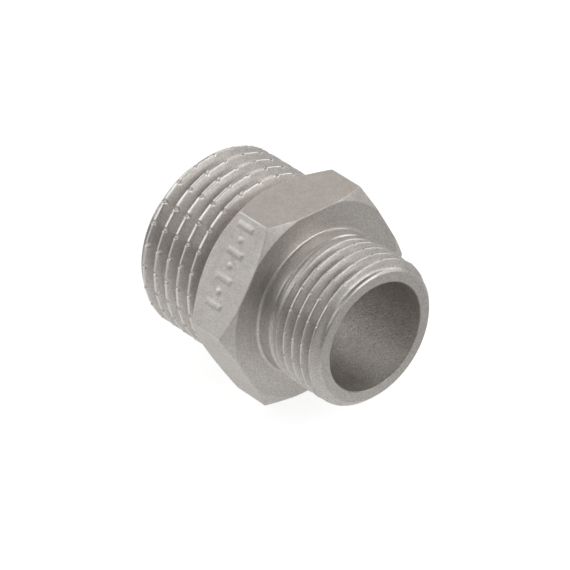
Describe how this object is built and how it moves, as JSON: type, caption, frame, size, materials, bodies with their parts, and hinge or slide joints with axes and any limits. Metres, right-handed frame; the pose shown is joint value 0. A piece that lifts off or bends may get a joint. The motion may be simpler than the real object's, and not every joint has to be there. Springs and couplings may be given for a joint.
{
  "type": "hex nipple",
  "caption": "Reducing hex nipple: a hex collar between a larger and a smaller male pipe thread with nicked crests, and a stepped flow bore from end to end.",
  "frame": {"origin": "on the bore axis, at the middle of the hex collar's width", "axes": "+X along the bore axis towards the smaller thread, +Z out of one hex flat, so the fitting lies on the opposite flat"},
  "size_m": [0.0265, 0.0254, 0.022],
  "materials": {
    "metal": "satin: blasted cast collar and bore, turned shoulders and threads"
  },
  "bodies": {
    "root": {"nipple_body": "metal"}
  },
  "joints": []
}
